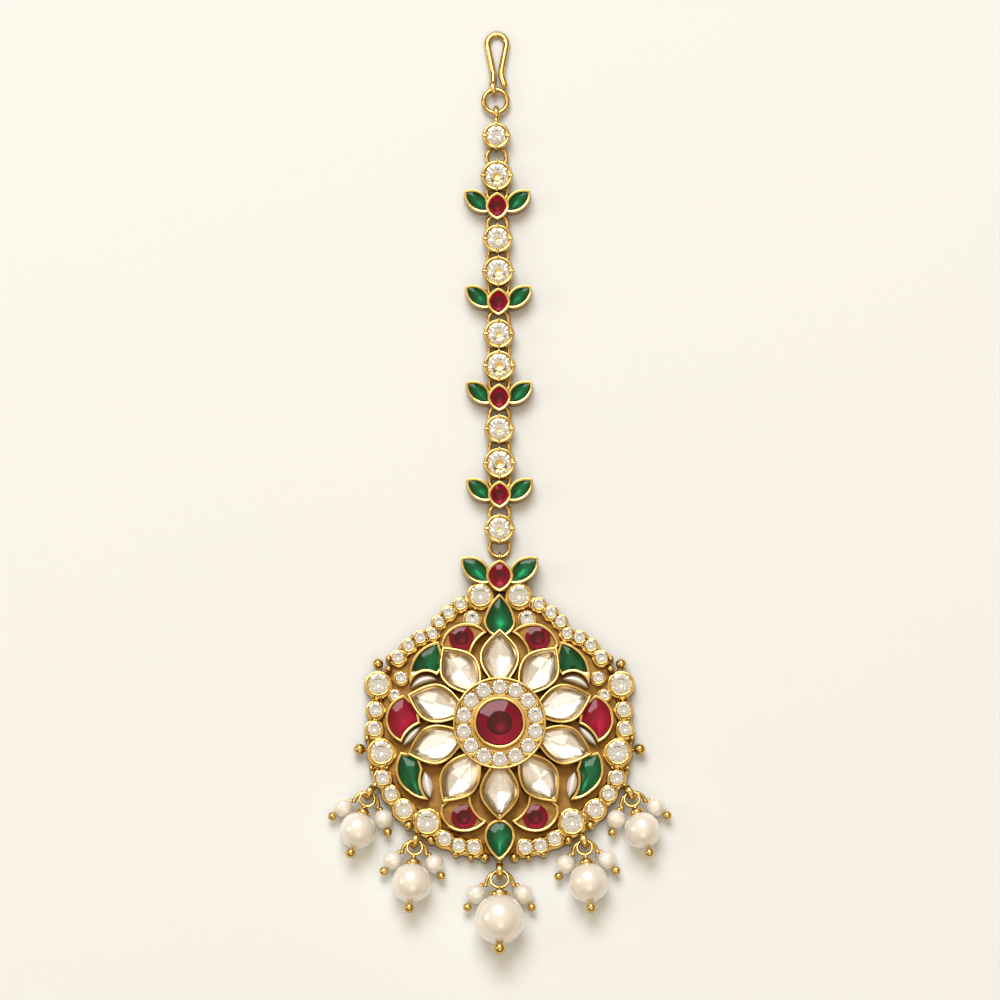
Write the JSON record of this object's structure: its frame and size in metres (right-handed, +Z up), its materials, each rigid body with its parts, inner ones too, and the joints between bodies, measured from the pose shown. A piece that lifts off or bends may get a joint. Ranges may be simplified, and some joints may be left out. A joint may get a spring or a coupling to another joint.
{
  "type": "maang tikka",
  "caption": "Forehead ornament laid flat: a hook, a chain of round and leaf-shaped stone settings, and a round flower pendant with pearl drops.",
  "frame": {"origin": "centre of the flower on the pendant's flat back, which lies on the surface", "axes": "+Y along the chain towards the hook, +Z up out of the pendant's face, +X to the right seen from above"},
  "size_m": [0.055, 0.1508, 0.0081],
  "materials": {
    "gold": "gold-plated brass, polished on the lips and darker in the recesses",
    "ruby": "faceted deep red glass with foil behind",
    "emerald": "faceted deep green glass with foil behind",
    "clear_stone": "faceted clear glass with silver foil behind",
    "pearl": "cream pearl, soft lustre"
  },
  "bodies": {
    "root": {"centre_ruby": "ruby", "chain_clear_stones": "clear_stone", "chain_emeralds": "emerald", "chain_rings": "gold", "chain_rubies": "ruby", "crescent_stones": "clear_stone", "crown_emeralds": "emerald", "crown_ruby": "ruby", "drop_hoops": "gold", "drop_pin_1": "gold", "drop_pin_2": "gold", "drop_pin_3": "gold", "drop_pin_4": "gold", "drop_pin_5": "gold", "emerald_1": "emerald", "emerald_2": "emerald", "emerald_3": "emerald", "emerald_4": "emerald", "emerald_5": "emerald", "emerald_6": "emerald", "halo_stones": "clear_stone", "hook": "gold", "hook_ring": "gold", "leaf_link_1": "gold", "leaf_link_2": "gold", "leaf_link_3": "gold", "leaf_link_4": "gold", "link_cup_1": "gold", "link_cup_2": "gold", "link_cup_3": "gold", "link_cup_4": "gold", "link_cup_5": "gold", "link_cup_6": "gold", "link_cup_7": "gold", "link_cup_8": "gold", "link_cup_9": "gold", "pearl_1": "pearl", "pearl_2": "pearl", "pearl_3": "pearl", "pearl_4": "pearl", "pearl_5": "pearl", "pendant_frame": "gold", "petal_stone_01": "clear_stone", "petal_stone_02": "clear_stone", "petal_stone_03": "clear_stone", "petal_stone_04": "clear_stone", "petal_stone_05": "clear_stone", "petal_stone_06": "clear_stone", "petal_stone_07": "clear_stone", "petal_stone_08": "clear_stone", "petal_stone_09": "clear_stone", "petal_stone_10": "clear_stone", "rim_stones": "clear_stone", "ruby_1": "ruby", "ruby_2": "ruby", "ruby_3": "ruby", "ruby_4": "ruby", "ruby_5": "ruby", "ruby_6": "ruby", "small_pearls": "pearl"}
  },
  "joints": []
}
